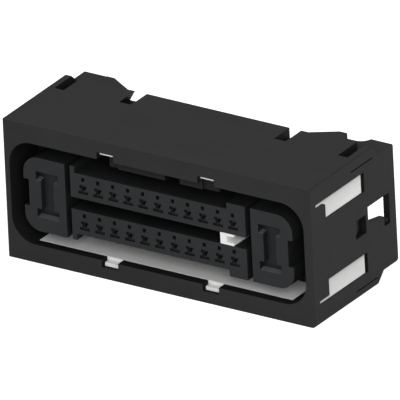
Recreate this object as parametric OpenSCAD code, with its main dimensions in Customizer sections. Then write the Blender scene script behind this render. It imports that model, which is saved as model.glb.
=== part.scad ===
// Two-row connector socket: black shell, contact carrier, two white lock plates,
// a white coding insert and a crimp contact in every cavity.
// X runs along the rows, the mating face looks towards -Y, Z is up.
// The modules are drawn about the middle of the mating face, with Y as depth behind it.

/* [Contacts] */
// Contacts in each row
columns = 11; // [8:1:12]
// Distance between neighbouring contacts
pitch = 2.54; // [2.2:0.02:3.2]
// Distance between the two rows of contacts
row_pitch = 5.7; // [5.6:0.05:6.5]
// Drop of a contact's axis below the middle of its row
row_axis_drop = 0.45; // [0.3:0.05:0.6]
// Width of a contact's box
contact_w = 1.7; // [1.4:0.05:1.8]
// Height of a contact's box
contact_h = 1.8; // [1.5:0.05:1.9]
// Length of a contact's box
contact_box_l = 7.2; // [6:0.1:8]
// Sheet thickness of a contact
contact_t = 0.2; // [0.15:0.01:0.3]
// Outer diameter of the conductor crimp
crimp_od = 1.4; // [1.2:0.05:1.6]
// Outer diameter of the insulation crimp
grip_od = 1.65; // [1.5:0.05:1.7]
// Length of each crimp
crimp_l = 2.4; // [2:0.1:2.6]
// Length of the neck in front of each crimp
neck_l = 0.7; // [0.5:0.1:0.8]

/* [Contact carrier] */
// Thickness of one row of the carrier
row_t = 3.85; // [3.7:0.05:4.4]
// Solid end of a row beyond its last contact
row_end = 2.15; // [1.8:0.05:3]
// Width of the left ears on the rows
left_ear_w = 0.75; // [0.6:0.05:1.5]
// Width of the right ears on the rows
right_ear_w = 3.1; // [1.5:0.1:4]
// Height of the ears above the rows
ear_h = 1; // [0.8:0.05:1.5]
// Slit between a row and the guide post beside it
slit_w = 0.9; // [0.6:0.05:1.4]
// Width of a guide post
post_w = 7.05; // [6:0.05:9]
// Radius of the outer corners of a guide post
post_r = 2.6; // [1.5:0.1:3.5]
// Depth of the notch in the outer side of a guide post
post_notch_w = 0.85; // [0.5:0.05:1.2]
// Height of the notch in the outer side of a guide post
post_notch_h = 4.15; // [3:0.05:5]
// Carrier face, behind the mating face
face_set = 0.25; // [0.1:0.05:0.5]
// Thickness of the carrier's rear flange
flange_t = 1; // [0.8:0.1:1.5]

/* [Guide post recess] */
// Width of the two bars of the recess
recess_bar_w = 3.7; // [3:0.1:5]
// Height of each bar
recess_bar_h = 1.4; // [1:0.05:1.6]
// Height of the whole recess
recess_h = 7.2; // [6:0.1:8]
// Width of the stem between the bars
recess_stem_w = 2.1; // [1.4:0.1:2.6]
// Depth of the recess
recess_d = 1; // [0.4:0.05:1.2]
// Rise of the sloping lower edge of each bar
recess_slope = 0.2; // [0.1:0.05:0.5]

/* [Cavities] */
// Width of the head of a cavity's front opening
hole_head_w = 1.2; // [1:0.05:1.4]
// Width of the waist of the opening
hole_waist_w = 0.75; // [0.7:0.05:0.9]
// Width of the foot of the opening
hole_foot_w = 1.65; // [1.4:0.05:1.7]
// Height of the whole opening
hole_h = 1.4; // [1.2:0.05:1.6]
// Height of the head and of the foot
hole_bar_h = 0.45; // [0.35:0.05:0.5]
// Depth of the opening
hole_d = 0.35; // [0.3:0.05:0.7]
// Side of the square pin hole behind the opening
pin_hole = 0.6; // [0.55:0.05:0.75]
// Thickness of the wall in front of a contact
hole_wall = 1; // [0.8:0.1:1.4]
// Width of a release hole
release_w = 0.55; // [0.45:0.05:0.7]
// Height of a release hole
release_h = 0.6; // [0.5:0.05:0.65]
// Height of a release hole above its contact's axis
release_up = 1.55; // [1.5:0.05:1.6]
// Length of a contact's lance
lance_l = 1.3; // [1:0.1:2]
// Lance, behind the front of its contact
lance_set = 3.2; // [2.5:0.1:4]

/* [Mating gap] */
// Gap beside the guide posts
gap_w = 2.15; // [1.8:0.05:3]
// Gap above and below the guide posts
gap_h = 2.15; // [1.8:0.05:3]
// Depth of the gap beside the guide posts
gap_d = 7.3; // [6.5:0.1:9]
// Thickness of the carrier's wall at the bottom of the gap
gap_wall = 0.8; // [0.6:0.05:1.2]
// Corner radius of the mouth
mouth_r = 3.8; // [2:0.1:4.5]
// Thickness of the lip round the mouth
lip_t = 1.5; // [1.2:0.05:1.8]
// Peg notches, from the middle to each side
peg_x = 8.55; // [6:0.05:10]
// Width of a peg notch
peg_w = 2.8; // [2.4:0.05:3.5]
// Depth of a peg notch into the lip
peg_h = 1.1; // [0.8:0.05:1.2]
// Height of the polarising rib under the top of the lip
key_h = 1.5; // [1:0.05:1.8]
// Thickness of the rib behind the lip
key_t = 0.8; // [0.6:0.05:1.2]
// Overlap of the rib under the lip
key_lap = 0.3; // [0.2:0.05:0.6]
// Height of the rib's root on the back of the lip
key_root = 0.4; // [0.3:0.05:0.5]
// Left end of the rib, from the middle
key_left = 8.8; // [7:0.1:10]
// Right end of the rib, from the middle
key_right = 9.8; // [7:0.1:11]
// Width of the slot in the rib
key_slot_w = 2.5; // [1.5:0.1:3]
// Slot in the rib, from the middle
key_slot_x = 2.05; // [1.5:0.05:4]

/* [Shell] */
// Thickness of the side walls
side_t = 1.05; // [0.9:0.05:1.6]
// Thickness of the top and bottom plates
plate_t = 1.6; // [1.2:0.05:2.2]
// Radius of the long edges
edge_r = 0.2; // [0.1:0.05:0.5]
// Radius of the front corners, seen from above
corner_r = 0.5; // [0.3:0.05:1]
// Radius of the rear corners, seen from the side
rear_r = 0.5; // [0.3:0.05:1]
// Plates at the middle, beyond the carrier's rear flange
plate_out = 1.25; // [1:0.05:2]
// Rear tabs, beyond the plates
tab_out = 2.3; // [1.5:0.1:3]
// Rear edge of the walls, beyond the tabs
wall_out = 1.3; // [0.8:0.1:2]
// Rear corner posts, beyond the rear edge of the walls
corner_out = 1.8; // [1:0.1:2.5]
// Width of a rear corner post
corner_w = 3.4; // [3:0.1:4.5]
// Cheek beside a tab, beyond the plates
cheek_out = 0.45; // [0.2:0.05:0.8]
// Width of a cheek
cheek_w = 1; // [0.6:0.1:1.4]
// Flat rear edge of a tab
tab_w = 1.3; // [0.8:0.1:2.5]
// Length of the slanting side of a tab along X
tab_slant = 3.8; // [2.5:0.1:4.5]
// Snap notches, from the middle to each side
snap_x = 13.1; // [11:0.1:13.5]
// Width of a snap notch
snap_w = 2; // [1.5:0.1:2.5]
// Length of a snap notch
snap_l = 4.1; // [3:0.1:5]
// Undercut of the outer side of a snap notch
snap_lean = 0.9; // [0.5:0.1:1.2]

/* [Latch eyes] */
// Width of the bar outside an eye
eye_bar_w = 1.15; // [0.9:0.05:1.5]
// Width of an eye
eye_w = 1.6; // [1.2:0.1:2]
// Length of an eye
eye_l = 4.5; // [3.5:0.1:5.5]
// Height of the slit under an eye's bar
eye_slit = 0.2; // [0.15:0.05:0.3]
// Length of the slit ahead of its eye
eye_slit_lead = 1; // [0.5:0.1:1.5]
// Thickness of the bars of the lower eyes
low_bar_t = 1; // [0.7:0.05:1.2]

/* [Side windows] */
// Start of a carrier latch window, behind the front of the carrier's flange
latch_set = 0.55; // [0.4:0.05:1]
// Length of a carrier latch window
latch_l = 5.5; // [4.5:0.1:5.8]
// Height of a carrier latch window
latch_h = 4.7; // [4:0.1:5.5]
// Height of that window at its front
latch_front_h = 2.55; // [2:0.05:3]
// Height of that window where its lower edge meets the slot behind it
latch_rear_h = 3.3; // [3:0.05:3.8]
// Length of that slot
latch_slot_l = 1.45; // [1.2:0.05:2]
// Drop of the latch windows below the middle
latch_drop = 0.3; // [0:0.05:0.6]
// Length of a viewing hole ahead of a latch window
view_l = 2.75; // [2:0.05:3]
// Height of a viewing hole
view_h = 2.8; // [2:0.1:3.5]
// Wall between a viewing hole and its latch window
view_wall = 0.55; // [0.4:0.05:1]
// Thickness of a carrier latch arm
arm_t = 0.7; // [0.6:0.05:1]
// Height of a latch arm at its root
arm_root_h = 1; // [0.8:0.05:1.3]
// Height of a latch arm at its tip
arm_tip_h = 0.7; // [0.5:0.05:0.8]
// Length of the ramped nose on a latch arm
nose_l = 1.2; // [0.8:0.1:1.4]
// Nose of a latch arm, behind the outer face
nose_set = 0.3; // [0.1:0.05:0.5]
// Open height under the catch in a viewing hole
catch_gap = 0.4; // [0.2:0.05:0.6]
// Front of that catch, behind the outer face
catch_set = 0.15; // [0.05:0.05:0.4]

/* [Lock plates] */
// Thickness of the lower lock plate's floor
lock_t = 1.2; // [0.8:0.05:1.4]
// Thickness of the upper lock plate's floor
upper_t = 0.55; // [0.5:0.05:0.8]
// Land between a lock plate's floor and the cuts in the shell's plates
lock_land = 0.6; // [0.4:0.05:1]
// Ends of the lock plates' floors, inside the mouth
lock_inset = 3.5; // [3:0.05:5]
// Recess of the lock plates in the right wall
lock_recess = 0.1; // [0.05:0.05:0.4]
// Front of a lock plate's end in the right wall, behind the lip
end_set = 2.75; // [2:0.05:4]
// Rear of a lock plate, behind the front of its end
end_l = 9.95; // [9:0.05:10.5]
// Drop of a lock plate's end below the edge of the mouth
end_drop = 0.15; // [0.1:0.05:0.3]
// Height of a lock plate's end
end_h = 3; // [2.5:0.05:3.3]
// Height of the thin front of that end
end_thin_h = 0.5; // [0.4:0.05:0.8]
// Thin front of that end, behind the lip
end_thin_set = 0.3; // [0.2:0.05:1]
// Length of the slope under the thin front of the upper end
end_slope_l = 0.8; // [0.4:0.05:1.2]
// Height of that slope
end_slope_h = 0.4; // [0.2:0.05:0.6]
// Reach of an end inward from the right wall
end_reach = 1; // [0.8:0.05:1.4]
// Room behind an end in its window
end_room = 0.6; // [0.3:0.05:0.8]
// Width of a tongue in a peg notch
tongue_w = 2.4; // [2:0.05:2.8]
// Thickness of a lower tongue
tongue_t = 0.55; // [0.4:0.05:0.8]
// Thickness of an upper tongue
upper_tongue_t = 0.45; // [0.3:0.05:0.5]
// Tongue, behind the mating face
tongue_set = 0.55; // [0.2:0.05:0.8]

/* [Coding insert] */
// Left side of the insert, from the middle
coding_x = 10.45; // [8:0.05:10.5]
// Width of the insert
coding_w = 2.3; // [1.8:0.05:2.6]
// Width of the insert's web
coding_web_w = 1.1; // [0.8:0.05:1.4]
// Thickness of the insert's flanges
coding_flange_t = 0.4; // [0.3:0.05:0.6]

/* [Clearances] */
// Clearance between the mouldings
clear = 0.05; // [0.03:0.01:0.1]
// Clearance round a contact in its cavity
contact_clear = 0.1; // [0.05:0.01:0.12]

/* [Hidden] */
$fn = 48;
// Overshoot of a cut past the face that it opens, and overlap of pieces that join
cut = 1;

// Half sizes along X, from the rows out to the shell
rows_x = (columns - 1) * pitch / 2 + row_end;
post_in = rows_x + slit_w;
post_out = post_in + post_w;
mouth_x = post_out + gap_w;
shell_x = mouth_x + side_t;
shell_w = 2 * shell_x;

// Half sizes along Z, from the slot between the rows out to the plates
slot_z = row_pitch / 2 - row_t / 2;
rows_z = slot_z + row_t;
post_z = rows_z + ear_h;
mouth_z = post_z + gap_h;
tube_z = mouth_z + lock_t + clear;
shell_z = tube_z + plate_t;
shell_h = 2 * shell_z;

// Depths behind the mating face
shelf_y = lip_t + clear;
end_y = lip_t + end_set;
bar_y = gap_d + gap_wall + clear;
lock_rear = end_y + end_l;
pocket_rear = lock_rear + 2 * clear;
flange_y = pocket_rear + clear;
carrier_rear = flange_y + flange_t;
plate_d = carrier_rear + plate_out;
tab_d = plate_d + tab_out;
wall_d = tab_d + wall_out;
shell_d = wall_d + corner_out;

// Plan of the rear edge of the plates
eye_out = shell_x - eye_bar_w;
eye_in = eye_out - eye_w;
eye_y = plate_d - eye_l;
floor_rear = plate_d - max(eye_l, snap_l) - lock_land;
cove_r = tab_out - cheek_out;
cove_x = eye_in - cheek_w;
tab_x = cove_x - cove_r - tab_w;
floor_x = mouth_x - lock_inset;

// Side windows
latch_y = flange_y + latch_set;
latch_z0 = -latch_drop - latch_h / 2;
view_y = latch_y - view_wall - view_l;
latch_z1 = latch_z0 + latch_h;
arm_y = latch_y + latch_l - 2 * clear;
end_z1 = mouth_z - end_drop;
end_z0 = end_z1 - end_h;

// Contacts and cavities
chamber_w = contact_w + 2 * contact_clear;
chamber_h = contact_h + 2 * contact_clear;
chamber_y = face_set + hole_wall;
contact_y = chamber_y + contact_clear;
lance_y = contact_y + lance_set;

shell_colour = "#2f3031";
carrier_colour = "#2b2d2f";
lock_colour = "#e9e9e6";
contact_colour = "#b9babb";

function row_name(row) = row == 0 ? "a" : "b";
function two_digits(n) = n < 10 ? str("0", n) : str(n);
function contact_name(row, i) = str("contact_", row_name(row), two_digits(i + 1));
function column_x(i) = (i - (columns - 1) / 2) * pitch;
function row_z(row) = (row == 0 ? 1 : -1) * row_pitch / 2 - row_axis_drop;

// Stands the part on its bottom plate, centred over the origin
module place() translate([0, -shell_d / 2, shell_z]) children();

// A box between two opposite corners
module block(low, high) translate(low) cube(high - low);

// An outline in X and Z, run from depth y0 back to y1
module run(y0, y1) translate([0, y1, 0]) rotate([90, 0, 0]) linear_extrude(y1 - y0) children();

// An outline in Y and Z, run from x0 to x1
module run_x(x0, x1) translate([x0, 0, 0]) rotate([90, 0, 90]) linear_extrude(x1 - x0) children();

module both_sides() {
    children();
    mirror([1, 0, 0]) children();
}

module top_and_bottom() {
    children();
    mirror([0, 0, 1]) children();
}

module rounded(w, h, r) {
    square([w - 2 * r, h], center = true);
    square([w, h - 2 * r], center = true);
    for (sx = [-1, 1], sy = [-1, 1])
        translate([sx * (w / 2 - r), sy * (h / 2 - r)]) circle(r);
}

// Outline between two opposite corners
module panel(low, high) translate(low) square(high - low);

// Outer form: a small radius on the long edges, round front corners in plan
module shell_envelope() intersection() {
    run(0, shell_d) rounded(shell_w, shell_h, edge_r);
    translate([0, 0, -shell_z]) linear_extrude(shell_h) {
        panel([-shell_x, corner_r], [shell_x, shell_d]);
        panel([-shell_x + corner_r, 0], [shell_x - corner_r, shell_d]);
        both_sides() translate([shell_x - corner_r, corner_r]) circle(corner_r);
    }
}

// Side view of the walls, with round rear corners
module wall_side() {
    panel([0, -tube_z], [shell_d - rear_r, tube_z]);
    panel([0, -tube_z + rear_r], [shell_d, tube_z - rear_r]);
    for (sz = [-1, 1]) translate([shell_d - rear_r, sz * (tube_z - rear_r)]) circle(rear_r);
}

// Plan of a plate: a rear edge with coves, cheeks and eyes
module plate_plan() difference() {
    panel([-shell_x, 0], [shell_x, tab_d]);
    both_sides() {
        translate([cove_x, tab_d]) circle(cove_r);
        panel([cove_x, plate_d + cheek_out], [eye_in + cut, tab_d + cut]);
        panel([eye_in, eye_y], [eye_out, plate_d + cut]);
        panel([eye_in, plate_d], [shell_x + cut, tab_d + cut]);
    }
}

// Snap notch in a plate, undercut on its outer side
module snap_notch() {
    inner = snap_x - snap_w / 2;
    outer = snap_x + snap_w / 2;
    run(plate_d - snap_l, plate_d + cut) polygon([
        [inner, tube_z],
        [inner, shell_z + cut],
        [outer - snap_lean * cut / plate_t, shell_z + cut],
        [outer + snap_lean, tube_z]
    ]);
}

// Slope that ties the rear end of an eye's bar to the wall
module eye_slope() run_x(eye_out, shell_x) polygon([
    [plate_d - cut, tube_z - cut],
    [plate_d - cut, shell_z],
    [plate_d, shell_z],
    [plate_d + plate_t, tube_z],
    [plate_d + plate_t, tube_z - cut]
]);

// Slits through the side walls that free the bars of two eyes, each open to its eye
module eye_slits(z0) both_sides() {
    block([eye_in, eye_y - eye_slit_lead, z0], [shell_x + cut, plate_d, z0 + eye_slit]);
    block([eye_in, eye_y, z0], [eye_out, plate_d, z0 + 2 * eye_slit]);
}

// Open space between the rear corner posts and between the slanting sides of the tabs
module rear_plan() {
    cove_start = shell_x - corner_w - corner_out;
    panel([-cove_start, wall_d], [cove_start, shell_d + cut]);
    both_sides() {
        translate([cove_start, shell_d]) circle(corner_out);
        polygon([
            [-cut, plate_d],
            [tab_x - tab_slant, plate_d],
            [tab_x, tab_d],
            [tab_x, wall_d + cut],
            [-cut, wall_d + cut]
        ]);
    }
}

// Side view of a lock plate's end, drawn smaller all round by the room that it has in its window
module end_side(rear, room, slope_l) {
    front = end_y + room;
    thin_z = end_z1 - end_thin_h + room;
    panel([front, end_z0 + room], [rear, end_z1 - room]);
    panel([lip_t + end_thin_set + room, thin_z], [front + cut, end_z1 - room]);
    polygon([
        [front - slope_l, thin_z],
        [front + cut, thin_z],
        [front + cut, thin_z - end_slope_h],
        [front, thin_z - end_slope_h]
    ]);
}

// Window in the right wall that shows the end of a lock plate
module lock_window(slope_l) run_x(mouth_x - end_reach, shell_x + cut) end_side(pocket_rear, 0, slope_l);

module peg_notches() top_and_bottom() both_sides()
    block([peg_x - peg_w / 2, -cut, 0], [peg_x + peg_w / 2, shelf_y, mouth_z + peg_h]);

// Rib behind the top of the lip, rooted on the back of the lip, with one slot
module polarising_rib() difference() {
    block([-key_left, lip_t - key_lap, mouth_z - key_h], [key_right, lip_t + key_t, mouth_z + key_root]);
    block(
        [key_slot_x - key_slot_w / 2, -cut, mouth_z - key_h - cut],
        [key_slot_x + key_slot_w / 2, lip_t + key_t + cut, mouth_z]
    );
    peg_notches();
}

// Latch window: a sloping lower edge, then a slot behind it
module latch_window() {
    rear = latch_y + latch_l;
    slot_y = rear - latch_slot_l;
    run_x(mouth_x - cut, shell_x + cut) polygon([
        [latch_y, latch_z1 - latch_front_h],
        [latch_y, latch_z1],
        [rear, latch_z1],
        [rear, latch_z0],
        [slot_y, latch_z0],
        [slot_y, latch_z1 - latch_rear_h]
    ]);
}

module outer_housing() color(shell_colour) place() {
    difference() {
        intersection() {
            union() {
                run_x(-shell_x, shell_x) wall_side();
                top_and_bottom() {
                    translate([0, 0, tube_z - cut]) linear_extrude(plate_t + cut) plate_plan();
                    both_sides() eye_slope();
                }
            }
            shell_envelope();
        }
        run(-cut, pocket_rear) rounded(2 * mouth_x, 2 * mouth_z, mouth_r);
        block([-floor_x - clear, lip_t, -tube_z], [floor_x + clear, floor_rear + clear, tube_z]);
        block([-floor_x - clear, bar_y - clear, -mouth_z], [mouth_x, pocket_rear, mouth_z]);
        run(pocket_rear - clear, shell_d + cut) square([2 * mouth_x, 2 * mouth_z], center = true);
        translate([0, 0, -shell_z - cut]) linear_extrude(shell_h + 2 * cut) rear_plan();
        peg_notches();
        top_and_bottom() both_sides() snap_notch();
        lock_window(end_slope_l);
        mirror([0, 0, 1]) lock_window(0);
        eye_slits(tube_z - eye_slit);
        eye_slits(-shell_z + low_bar_t);
        both_sides() {
            latch_window();
            block(
                [mouth_x - cut, view_y, -latch_drop - view_h / 2],
                [shell_x + cut, view_y + view_l, -latch_drop + view_h / 2]
            );
        }
    }
    polarising_rib();
}

// Face of a guide post: flat inner side, round outer corners, a notch in the outer side
module post_face() difference() {
    union() {
        panel([post_in, -post_z], [post_out - post_r, post_z]);
        panel([post_in, -post_z + post_r], [post_out, post_z - post_r]);
        for (sz = [-1, 1]) translate([post_out - post_r, sz * (post_z - post_r)]) circle(post_r);
    }
    panel([post_out - post_notch_w, -post_notch_h / 2], [post_out + cut, post_notch_h / 2]);
}

module row_face() for (sz = [0, 1]) mirror([0, sz]) {
    panel([-rows_x, slot_z], [rows_x, rows_z]);
    panel([-rows_x, rows_z - cut], [-rows_x + left_ear_w, post_z]);
    panel([rows_x - right_ear_w, rows_z - cut], [rows_x, post_z]);
}

// Section of the carrier behind the mating gap
module body_section() {
    square([2 * post_out, 2 * rows_z], center = true);
    panel([-post_out, -post_z], [-rows_x + left_ear_w, post_z]);
    panel([rows_x - right_ear_w, -post_z], [post_out, post_z]);
    square([2 * (mouth_x - clear), 2 * (end_z0 - clear)], center = true);
}

// Recess in the face of a guide post, shaped like an I, with sloping lower edges
module post_recess() {
    x = (post_in + post_out - post_notch_w) / 2;
    floor_y = face_set + recess_d;
    run(face_set - cut, floor_y) translate([x, 0])
        square([recess_stem_w, recess_h - recess_bar_h], center = true);
    for (z0 = [-recess_h / 2, recess_h / 2 - recess_bar_h])
        run_x(x - recess_bar_w / 2, x + recess_bar_w / 2) polygon([
            [face_set - cut, z0],
            [face_set, z0],
            [floor_y, z0 + recess_slope],
            [floor_y, z0 + recess_bar_h],
            [face_set - cut, z0 + recess_bar_h]
        ]);
}

// Front opening of a cavity: head, waist and foot
module hole_face() {
    bar_z = (hole_h - hole_bar_h) / 2;
    translate([0, bar_z]) square([hole_head_w, hole_bar_h], center = true);
    square([hole_waist_w, hole_h], center = true);
    translate([0, -bar_z]) square([hole_foot_w, hole_bar_h], center = true);
}

// One cavity: keyed front opening, pin hole, chamber, release hole and the slot for the contact's lance
module cavity() {
    run(face_set - cut, face_set + hole_d) hole_face();
    run(face_set, chamber_y + cut) square(pin_hole, center = true);
    run(chamber_y, carrier_rear + cut) square([chamber_w, chamber_h], center = true);
    run(face_set - cut, lance_y + lance_l) translate([0, release_up])
        square([release_w, release_h], center = true);
    run(lance_y - contact_clear, lance_y + lance_l)
        panel([-release_w / 2, 0], [release_w / 2, release_up + release_h / 2]);
}

// Arm behind the wall, with a sloping top and a ramped nose in the slot of the latch window
module latch_arm() {
    z0 = latch_z0 + clear;
    x0 = mouth_x - clear - arm_t;
    run_x(x0, mouth_x - clear) polygon([
        [flange_y, z0],
        [flange_y, z0 + arm_root_h],
        [carrier_rear, z0 + arm_root_h],
        [arm_y, z0 + arm_tip_h],
        [arm_y, z0]
    ]);
    translate([0, 0, z0]) linear_extrude(arm_tip_h) polygon([
        [x0, arm_y - nose_l],
        [mouth_x - clear, arm_y - nose_l],
        [shell_x - nose_set, arm_y],
        [x0, arm_y]
    ]);
}

// Catch in a viewing hole, sloping away to the rear
module view_catch() translate([0, 0, -latch_drop - view_h / 2 + catch_gap])
    linear_extrude(view_h - catch_gap - clear) polygon([
        [mouth_x - cut, view_y + clear],
        [shell_x - catch_set, view_y + clear],
        [mouth_x - clear, view_y + view_l],
        [mouth_x - cut, view_y + view_l]
    ]);

module contact_carrier() color(carrier_colour) place() difference() {
    union() {
        run(face_set, gap_d + cut) {
            row_face();
            both_sides() post_face();
        }
        run(gap_d, gap_d + gap_wall) rounded(2 * (mouth_x - clear), 2 * (mouth_z - clear), mouth_r);
        run(gap_d, carrier_rear) body_section();
        run(flange_y, carrier_rear) square([2 * (mouth_x - clear), 2 * (mouth_z - clear)], center = true);
        both_sides() {
            latch_arm();
            view_catch();
        }
    }
    both_sides() post_recess();
    for (row = [0:1], i = [0:columns - 1]) translate([column_x(i), 0, row_z(row)]) cavity();
}

// Lock plate above the rows: floor behind the lip, bar behind the gap, end in the right wall
module lock_plate(floor_t, tip_t, slope_l) {
    right = mouth_x - clear;
    top = mouth_z + lock_t;
    tip_z = mouth_z + peg_h - clear;
    block([-floor_x, shelf_y, top - floor_t], [floor_x, floor_rear, top]);
    run(bar_y, floor_rear) panel([-floor_x, post_z + clear], [floor_x, top]);
    run(bar_y, lock_rear) {
        panel([-floor_x, post_z + clear], [right, mouth_z - clear]);
        panel(
            [-rows_x + left_ear_w + clear, rows_z + clear],
            [rows_x - right_ear_w - clear, mouth_z - clear]
        );
        panel([post_out + clear, end_z0 + clear], [right, mouth_z - clear]);
    }
    difference() {
        run_x(mouth_x - end_reach + clear, shell_x - lock_recess)
            end_side(lock_rear - end_room, clear, slope_l);
        run(-cut, bar_y) rounded(2 * mouth_x, 2 * mouth_z, mouth_r);
    }
    for (side = [-1, 1]) translate([side * peg_x, 0, 0])
        block([-tongue_w / 2, tongue_set, tip_z - tip_t], [tongue_w / 2, shelf_y + cut, tip_z]);
}

module upper_lock_plate() color(lock_colour) place() lock_plate(upper_t, upper_tongue_t, end_slope_l);

module lower_lock_plate() color(lock_colour) place() mirror([0, 0, 1]) lock_plate(lock_t, tongue_t, 0);

// Channel-shaped insert in the slot between the rows, open to the right
module coding_insert() color(lock_colour) place() {
    z = slot_z - clear;
    run(face_set, gap_d - clear) difference() {
        panel([coding_x, -z], [coding_x + coding_w, z]);
        panel(
            [coding_x + coding_web_w, -z + coding_flange_t],
            [coding_x + coding_w + cut, z - coding_flange_t]
        );
    }
}

// Crimp contact: folded box with a lance, then the conductor and insulation crimps
module contact(row, i) color(contact_colour) place() translate([column_x(i), 0, row_z(row)]) {
    box_end = contact_y + contact_box_l;
    crimp_y = box_end + neck_l;
    grip_y = crimp_y + crimp_l + neck_l;
    run(contact_y, box_end) difference() {
        square([contact_w, contact_h], center = true);
        square([contact_w - 2 * contact_t, contact_h - 2 * contact_t], center = true);
    }
    lance_root = (contact_h - contact_t) / 2;
    lance_top = release_up + release_h / 2 - contact_clear;
    run_x(-release_w / 2 + contact_clear, release_w / 2 - contact_clear) polygon([
        [lance_y, lance_root],
        [lance_y + lance_l - contact_clear, lance_root],
        [lance_y + lance_l - contact_clear, lance_top]
    ]);
    block(
        [-crimp_od / 2, contact_y, -contact_h / 2],
        [crimp_od / 2, grip_y + crimp_l, -contact_h / 2 + contact_t]
    );
    run(crimp_y, crimp_y + crimp_l) tube(crimp_od);
    run(grip_y, grip_y + crimp_l) tube(grip_od);
}

// Section of a closed crimp, sunk half way into the strip under it
module tube(od) translate([0, (od - contact_h + contact_t) / 2]) difference() {
    circle(d = od);
    circle(d = od - 2 * contact_t);
}

outer_housing();
contact_carrier();
upper_lock_plate();
lower_lock_plate();
coding_insert();
for (row = [0:1], i = [0:columns - 1])
    contact(row, i);
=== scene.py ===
import bmesh
import bpy
from mathutils import Matrix, Vector


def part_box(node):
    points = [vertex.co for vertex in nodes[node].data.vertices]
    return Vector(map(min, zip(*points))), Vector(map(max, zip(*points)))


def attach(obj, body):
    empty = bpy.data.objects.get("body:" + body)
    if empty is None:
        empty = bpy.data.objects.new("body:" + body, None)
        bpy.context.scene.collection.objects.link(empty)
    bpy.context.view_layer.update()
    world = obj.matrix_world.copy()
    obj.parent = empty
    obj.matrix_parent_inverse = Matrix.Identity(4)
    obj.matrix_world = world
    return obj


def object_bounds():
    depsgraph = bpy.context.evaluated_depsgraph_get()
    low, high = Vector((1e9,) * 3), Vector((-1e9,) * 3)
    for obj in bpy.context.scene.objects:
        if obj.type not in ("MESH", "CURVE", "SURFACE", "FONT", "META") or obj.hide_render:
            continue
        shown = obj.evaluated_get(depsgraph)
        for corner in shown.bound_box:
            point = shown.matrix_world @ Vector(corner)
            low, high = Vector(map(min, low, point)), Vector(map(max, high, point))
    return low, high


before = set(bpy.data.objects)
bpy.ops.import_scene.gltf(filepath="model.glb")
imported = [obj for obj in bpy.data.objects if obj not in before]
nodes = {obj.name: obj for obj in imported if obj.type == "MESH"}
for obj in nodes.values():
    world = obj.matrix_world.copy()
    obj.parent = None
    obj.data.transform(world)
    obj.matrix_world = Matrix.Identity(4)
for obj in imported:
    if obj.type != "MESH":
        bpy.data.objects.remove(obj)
cadLow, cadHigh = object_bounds()
middle = (cadLow + cadHigh) / 2
mm = 0.001
print("frame loaded,", len(nodes), "nodes")

# what the finishes share: rays for edges and for the painted shade in nooks, slopes that mark an edge
# or a ledge for the painted highlight, noise detail
finishLook = {
    "edgeSamples": 6, "edgeTurned": 0.80, "edgeFlat": 0.995,
    "shadeSamples": 8,
    "ledgeForward": -0.1, "ledgeSteep": 0.5, "ledgeLevel": 0.7,
    "cloudDetail": 3.0, "lineDetail": 3.0,
    "streakDetail": 2.0, "streakRough": 0.6, "streakDark": 0.7,
    "grainDetail": 2.0, "grainRough": 0.6,
}


def grey(v):
    return (v, v, v, 1.0)


black = grey(0.0)
white = grey(1.0)


def newMaterial(name):
    mat = bpy.data.materials.new(name)
    mat.use_nodes = True
    tree = mat.node_tree
    tree.nodes.clear()
    out = tree.nodes.new("ShaderNodeOutputMaterial")
    return mat, tree, out


def feed(tree, socket, value):
    # a link where the value is another node's output, a plain setting otherwise
    if isinstance(value, bpy.types.NodeSocket):
        tree.links.new(value, socket)
    else:
        socket.default_value = value


def place(tree, kind, **sockets):
    node = tree.nodes.new(kind)
    for key, value in sockets.items():
        feed(tree, node.inputs[key], value)
    return node


def axes(tree, vector):
    return place(tree, "ShaderNodeSeparateXYZ", Vector=vector).outputs


def maths(tree, how, first, second):
    node = tree.nodes.new("ShaderNodeMath")
    node.operation = how
    feed(tree, node.inputs[0], first)
    feed(tree, node.inputs[1], second)
    return node.outputs[0]


def ramp(tree, source, low, high, start=0.3, stop=0.7):
    node = place(tree, "ShaderNodeValToRGB", Fac=source)
    first, last = node.color_ramp.elements
    first.position, first.color = start, low
    last.position, last.color = stop, high
    return node.outputs["Color"]


def blend(tree, how, factor, under, over):
    mix = tree.nodes.new("ShaderNodeMix")
    mix.data_type, mix.blend_type = "RGBA", how
    # the colour sockets come after those for numbers and vectors, under the same names
    for index, value in ((0, factor), (6, under), (7, over)):
        feed(tree, mix.inputs[index], value)
    return mix.outputs[2]


def noiseAt(tree, perMetre, stretch=(1, 1, 1), detail=2.0, rough=0.5):
    where = tree.nodes.new("ShaderNodeTexCoord").outputs["Object"]
    squeezed = place(tree, "ShaderNodeMapping", Vector=where, Scale=stretch).outputs["Vector"]
    noise = place(tree, "ShaderNodeTexNoise", Vector=squeezed, Scale=perMetre)
    noise.inputs["Detail"].default_value = detail
    noise.inputs["Roughness"].default_value = rough
    return noise.outputs["Fac"]


def mouldedEdges(tree, radius):
    # a small radius on every edge, and a mask that is 1 along those edges
    soft = place(tree, "ShaderNodeBevel", Radius=radius)
    soft.samples = finishLook["edgeSamples"]
    agree = tree.nodes.new("ShaderNodeVectorMath")
    agree.operation = "DOT_PRODUCT"
    feed(tree, agree.inputs[0], soft.outputs["Normal"])
    feed(tree, agree.inputs[1], tree.nodes.new("ShaderNodeNewGeometry").outputs["Normal"])
    turned, flat = finishLook["edgeTurned"], finishLook["edgeFlat"]
    return soft.outputs["Normal"], ramp(tree, agree.outputs["Value"], white, black, turned, flat)


def openness(tree, reachMm, **sockets):
    # 1 where nothing lies within reach of a point, less where it is shut in
    node = place(tree, "ShaderNodeAmbientOcclusion", Distance=reachMm * mm, **sockets)
    node.samples = finishLook["shadeSamples"]
    return node.outputs["AO"]


def paintedNookShade(tree, look):
    # painted shade: darker in the gaps, none on the open faces
    clear = openness(tree, look["nookShadeMm"])
    return ramp(tree, clear, grey(look["nookShadeDark"]), white, look["nookShadeShut"], look["nookShadeOpen"])


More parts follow.
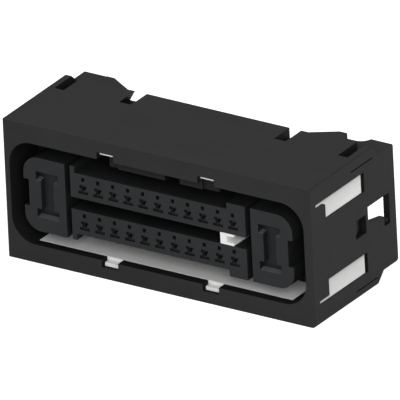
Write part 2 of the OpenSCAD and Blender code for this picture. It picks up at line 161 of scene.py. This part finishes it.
def paintedLedgeHighlight(tree):
    # 1 on the lead-in ledges that look up and a little forward, where a painted highlight goes
    facing = axes(tree, tree.nodes.new("ShaderNodeNewGeometry").outputs["Normal"])
    forward = maths(tree, "LESS_THAN", facing["Y"], finishLook["ledgeForward"])
    upward = maths(tree, "MULTIPLY", facing["Z"], forward)
    return ramp(tree, upward, black, white, finishLook["ledgeSteep"], finishLook["ledgeLevel"])


def lipShade(tree, look):
    # shade under the upper lip of a window, on the plate ends that lie in it
    upward = place(tree, "ShaderNodeCombineXYZ", Z=1.0).outputs["Vector"]
    clear = openness(tree, look["lipMm"], Normal=upward)
    dim = ramp(tree, clear, grey(look["lipDark"]), white, look["lipShut"], look["lipOpen"])
    where = axes(tree, tree.nodes.new("ShaderNodeTexCoord").outputs["Object"])
    atEnd = maths(tree, "GREATER_THAN", where["X"], look["lipFromMm"] * mm)
    return blend(tree, "MIX", atEnd, white, dim)


def mouldedPlastic(name, look):
    # satin moulding: cloudy colour, flow streaks, spark-eroded grain, edges rubbed brighter; painted
    # shade in the gaps and under window lips, and a painted highlight on lead-in ledges, where the
    # look asks for them
    mat, tree, out = newMaterial(name)
    shade = tree.nodes.new("ShaderNodeBsdfPrincipled")
    shade.inputs["Specular IOR Level"].default_value = look["shine"]
    cloud = noiseAt(tree, look["cloudPerM"], detail=finishLook["cloudDetail"])
    streak = noiseAt(
        tree, look["streakPerM"], look["streakAlong"],
        finishLook["streakDetail"], finishLook["streakRough"])
    tint = ramp(tree, cloud, look["dark"], look["light"])
    streaks = ramp(tree, streak, grey(finishLook["streakDark"]), white)
    tint = blend(tree, "MULTIPLY", look["streak"], tint, streaks)
    normal, edge = mouldedEdges(tree, look["edgeMm"] * mm)
    worn = blend(tree, "MULTIPLY", 1.0, edge, grey(look["wear"]))
    tint = blend(tree, "MIX", worn, tint, look["rubbed"])
    # painted shade, darker in the gaps
    tint = blend(tree, "MULTIPLY", 1.0, tint, paintedNookShade(tree, look))
    if "lipMm" in look:
        tint = blend(tree, "MULTIPLY", 1.0, tint, lipShade(tree, look))
    # painted highlight on the lead-in ledges
    if "ledgeHighlight" in look:
        tint = blend(tree, "MIX", paintedLedgeHighlight(tree), tint, look["ledgeHighlight"])
    feed(tree, shade.inputs["Base Color"], tint)
    gloss = ramp(tree, cloud, grey(look["roughLow"]), grey(look["roughHigh"]))
    feed(tree, shade.inputs["Roughness"], gloss)
    grain = noiseAt(
        tree, look["grainPerM"],
        detail=finishLook["grainDetail"], rough=finishLook["grainRough"])
    bump = place(tree, "ShaderNodeBump", Strength=look["grainDepth"], Distance=look["grainMm"] * mm)
    feed(tree, bump.inputs["Height"], grain)
    feed(tree, bump.inputs["Normal"], normal)
    feed(tree, shade.inputs["Normal"], bump.outputs["Normal"])
    feed(tree, out.inputs["Surface"], shade.outputs["BSDF"])
    return mat


def tinnedStrip(name, look):
    # stamped strip: rolling lines along the contact, dull tin over them, and painted shade darker in
    # its gaps
    mat, tree, out = newMaterial(name)
    shade = place(tree, "ShaderNodeBsdfPrincipled", Metallic=1.0)
    lines = noiseAt(tree, look["linesPerM"], look["linesAlong"], finishLook["lineDetail"])
    tint = ramp(tree, lines, look["dark"], look["light"])
    # painted shade, darker in the contact's gaps
    tint = blend(tree, "MULTIPLY", 1.0, tint, paintedNookShade(tree, look))
    feed(tree, shade.inputs["Base Color"], tint)
    gloss = ramp(tree, lines, grey(look["roughLow"]), grey(look["roughHigh"]))
    feed(tree, shade.inputs["Roughness"], gloss)
    bump = place(tree, "ShaderNodeBump", Strength=look["lineDepth"], Distance=look["lineMm"] * mm)
    feed(tree, bump.inputs["Height"], lines)
    feed(tree, shade.inputs["Normal"], bump.outputs["Normal"])
    feed(tree, out.inputs["Surface"], shade.outputs["BSDF"])
    return mat


# in each look the nook values set the painted shade in the gaps, the lip values the painted shade
# under the window lips, and the ledge colour the painted highlight on lead-in ledges
shellLook = {
    "dark": (0.0222, 0.0225, 0.0228, 1), "light": (0.0263, 0.0266, 0.0269, 1),
    "cloudPerM": 160, "streakPerM": 500, "streakAlong": (0.15, 1, 1), "streak": 0.25,
    "edgeMm": 0.12, "wear": 0.5, "rubbed": (0.032, 0.032, 0.033, 1),
    "nookShadeMm": 5.0, "nookShadeDark": 0.38, "nookShadeShut": 0.78, "nookShadeOpen": 0.98,
    "grainPerM": 9000, "grainDepth": 0.12, "grainMm": 0.02,
    "roughLow": 0.55, "roughHigh": 0.66, "shine": 0.06,
}
carrierLook = {
    "dark": (0.0205, 0.0213, 0.0223, 1), "light": (0.0240, 0.0250, 0.0262, 1),
    "cloudPerM": 220, "streakPerM": 700, "streakAlong": (1, 0.15, 1), "streak": 0.2,
    "edgeMm": 0.08, "wear": 0.4, "rubbed": (0.034, 0.035, 0.037, 1),
    # colour of the painted highlight on the lead-in ledges
    "ledgeHighlight": (0.075, 0.076, 0.078, 1),
    "nookShadeMm": 6.0, "nookShadeDark": 0.42, "nookShadeShut": 0.42, "nookShadeOpen": 0.88,
    "grainPerM": 11000, "grainDepth": 0.10, "grainMm": 0.02,
    "roughLow": 0.52, "roughHigh": 0.62, "shine": 0.07,
}
lockLook = {
    "dark": (0.76, 0.76, 0.75, 1), "light": (0.81, 0.81, 0.80, 1),
    "cloudPerM": 180, "streakPerM": 400, "streakAlong": (0.2, 1, 1), "streak": 0.05,
    "edgeMm": 0.08, "wear": 0.3, "rubbed": (0.82, 0.82, 0.81, 1),
    "nookShadeMm": 1.5, "nookShadeDark": 0.95, "nookShadeShut": 0.2, "nookShadeOpen": 1.0,
    "lipFromMm": 25.0, "lipMm": 4.0, "lipDark": 0.56, "lipShut": 0.28, "lipOpen": 0.56,
    "grainPerM": 8000, "grainDepth": 0.06, "grainMm": 0.02,
    "roughLow": 0.42, "roughHigh": 0.52, "shine": 0.3,
}
contactLook = {
    "dark": (0.42, 0.41, 0.39, 1), "light": (0.58, 0.57, 0.55, 1),
    "linesPerM": 5000, "linesAlong": (1, 0.12, 1), "lineDepth": 0.15, "lineMm": 0.01,
    "nookShadeMm": 2.0, "nookShadeDark": 0.35, "nookShadeShut": 0.1, "nookShadeOpen": 0.8,
    "roughLow": 0.28, "roughHigh": 0.42,
}

shellBlack = mouldedPlastic("shellBlack", shellLook)
carrierBlack = mouldedPlastic("carrierBlack", carrierLook)
lockWhite = mouldedPlastic("lockWhite", lockLook)
contactTin = tinnedStrip("contactTin", contactLook)
print("materials mixed")


def dress(name, mat):
    mesh = nodes[name].data
    mesh.materials.clear()
    mesh.materials.append(mat)


contacts = [name for name in nodes if name.startswith("contact_") and name != "contact_carrier"]
dress("outer_housing", shellBlack)
dress("contact_carrier", carrierBlack)
for name in ("upper_lock_plate", "lower_lock_plate", "coding_insert"):
    dress(name, lockWhite)
for name in contacts:
    dress(name, contactTin)
print("nodes dressed")

# leaf spring in a contact's box: millimetres behind the contact's front and above its floor
springLook = {
    "wide": 1.0, "thick": 0.14, "smooth": 2,
    "bend": [
        (6.6, 0.25), (5.6, 0.32), (4.4, 0.75), (3.2, 1.15), (2.5, 1.23), (1.9, 1.12), (1.4, 0.95),
    ],
}


def leafSpring(name, front):
    leaf = bmesh.new()
    half = springLook["wide"] / 2
    rungs = []
    for behind, above in springLook["bend"]:
        ends = [(side * mm, behind * mm, above * mm) for side in (-half, half)]
        rungs.append([leaf.verts.new(end) for end in ends])
    for near, far in zip(rungs, rungs[1:]):
        leaf.faces.new((near[0], near[1], far[1], far[0]))
    mesh = bpy.data.meshes.new(name)
    leaf.to_mesh(mesh)
    leaf.free()
    mesh.materials.append(contactTin)
    spring = bpy.data.objects.new(name, mesh)
    bpy.context.scene.collection.objects.link(spring)
    spring.location = front
    strip = spring.modifiers.new("strip", "SOLIDIFY")
    strip.thickness, strip.offset = springLook["thick"] * mm, 0.0
    rolled = spring.modifiers.new("rolled", "SUBSURF")
    rolled.levels = rolled.render_levels = springLook["smooth"]
    return spring


for name in contacts:
    low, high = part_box(name)
    front = Vector(((low.x + high.x) / 2, low.y, low.z))
    spring = leafSpring(name.replace("contact", "spring"), front)
    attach(spring, "root")
print("springs bent,", len(contacts))

# side in metres, under in millimetres below the part
floorLook = {"side": 3.0, "paper": 0.86, "glow": 0.70, "under": 0.02}

floorMesh = bpy.data.meshes.new("floor")
half = floorLook["side"] / 2
corners = [(-half, -half, 0), (half, -half, 0), (half, half, 0), (-half, half, 0)]
floorMesh.from_pydata(corners, [], [(0, 1, 2, 3)])
floor = bpy.data.objects.new("floor", floorMesh)
bpy.context.scene.collection.objects.link(floor)
floor.location.z = cadLow.z - floorLook["under"] * mm
floor.visible_shadow = False  # keeps the floor out of the painted shade in nooks and under window lips, which comes from the part alone


def seenRays(tree):
    # 1 for rays that show the background: straight to the camera, off metal or through glass
    path = tree.nodes.new("ShaderNodeLightPath").outputs
    mirrored = maths(tree, "MAXIMUM", path["Is Glossy Ray"], path["Is Transmission Ray"])
    return maths(tree, "MAXIMUM", path["Is Camera Ray"], mirrored)


# white to the eye, plain paper to the light, and the shadow stays on it
paper, paperTree, paperOut = newMaterial("paleFloor")
matt = place(paperTree, "ShaderNodeBsdfDiffuse", Color=grey(floorLook["paper"]))
shining = maths(paperTree, "MULTIPLY", seenRays(paperTree), floorLook["glow"])
glow = place(paperTree, "ShaderNodeEmission", Color=white, Strength=shining)
paperSum = paperTree.nodes.new("ShaderNodeAddShader")
feed(paperTree, paperSum.inputs[0], matt.outputs[0])
feed(paperTree, paperSum.inputs[1], glow.outputs[0])
feed(paperTree, paperOut.inputs["Surface"], paperSum.outputs[0])
floorMesh.materials.append(paper)

# away and the sizes of the lamps in metres
lightLook = {
    "ceiling": 0.87, "away": 0.5,
    "keyFrom": (0.53, -0.74, 0.41), "keyWatts": 1.60, "keySize": 0.30,
    "backFrom": (-0.55, 0.80, 0.12), "backWatts": 1.0, "backSize": 0.30,
}
world = bpy.data.worlds.new("room")
bpy.context.scene.world = world
world.use_nodes = True
roomTree = world.node_tree
roomTree.nodes.clear()
roomOut = roomTree.nodes.new("ShaderNodeOutputWorld")
# a bright ceiling that fades towards the walls, and nothing shines from under the floor
towards = axes(roomTree, roomTree.nodes.new("ShaderNodeTexCoord").outputs["Generated"])
roomGrey = ramp(roomTree, towards["Z"], black, grey(lightLook["ceiling"]), 0.0, 1.0)
roomLight = place(roomTree, "ShaderNodeBackground", Color=roomGrey)
roomWhite = place(roomTree, "ShaderNodeBackground", Color=white, Strength=1.0)
roomMix = place(roomTree, "ShaderNodeMixShader", Fac=seenRays(roomTree))
feed(roomTree, roomMix.inputs[1], roomLight.outputs[0])
feed(roomTree, roomMix.inputs[2], roomWhite.outputs[0])
feed(roomTree, roomOut.inputs["Surface"], roomMix.outputs[0])


def softBox(name, fromWhere, watts, size, glare=True):
    lamp = bpy.data.lights.new(name, "AREA")
    lamp.shape, lamp.size, lamp.energy = "DISK", size, watts
    box = bpy.data.objects.new(name, lamp)
    bpy.context.scene.collection.objects.link(box)
    outward = Vector(fromWhere).normalized()
    box.location = middle + outward * lightLook["away"]
    box.rotation_euler = outward.to_track_quat("Z", "Y").to_euler()
    box.visible_glossy = glare


softBox("keyLamp", lightLook["keyFrom"], lightLook["keyWatts"], lightLook["keySize"])
softBox(
    "backLamp", lightLook["backFrom"], lightLook["backWatts"], lightLook["backSize"], glare=False)

# the photograph's own axes, as directions in the frame; away and the clip distances in metres
viewLook = {
    "right": (0.83685, 0.54562, -0.04443), "down": (0.19833, -0.37783, -0.90439),
    "mmAcross": 56.77, "aimDown": 0.81, "away": 0.4,
    "clipNear": 0.01, "clipFar": 5.0,
}
eye = bpy.data.cameras.new("photoCamera")
eye.type = "ORTHO"
eye.sensor_fit = "AUTO"
eye.ortho_scale = viewLook["mmAcross"] * mm
eye.clip_start, eye.clip_end = viewLook["clipNear"], viewLook["clipFar"]
camera = bpy.data.objects.new("photoCamera", eye)
bpy.context.scene.collection.objects.link(camera)
right = Vector(viewLook["right"]).normalized()
up = -Vector(viewLook["down"])
up = (up - right * up.dot(right)).normalized()
back = right.cross(up)
spot = middle - up * viewLook["aimDown"] * mm + back * viewLook["away"]
camera.matrix_world = Matrix((right, up, back)).transposed().to_4x4()
camera.location = spot
bpy.context.scene.camera = camera
bpy.context.scene.view_settings.view_transform = "Standard"
print("floor, light and camera set")
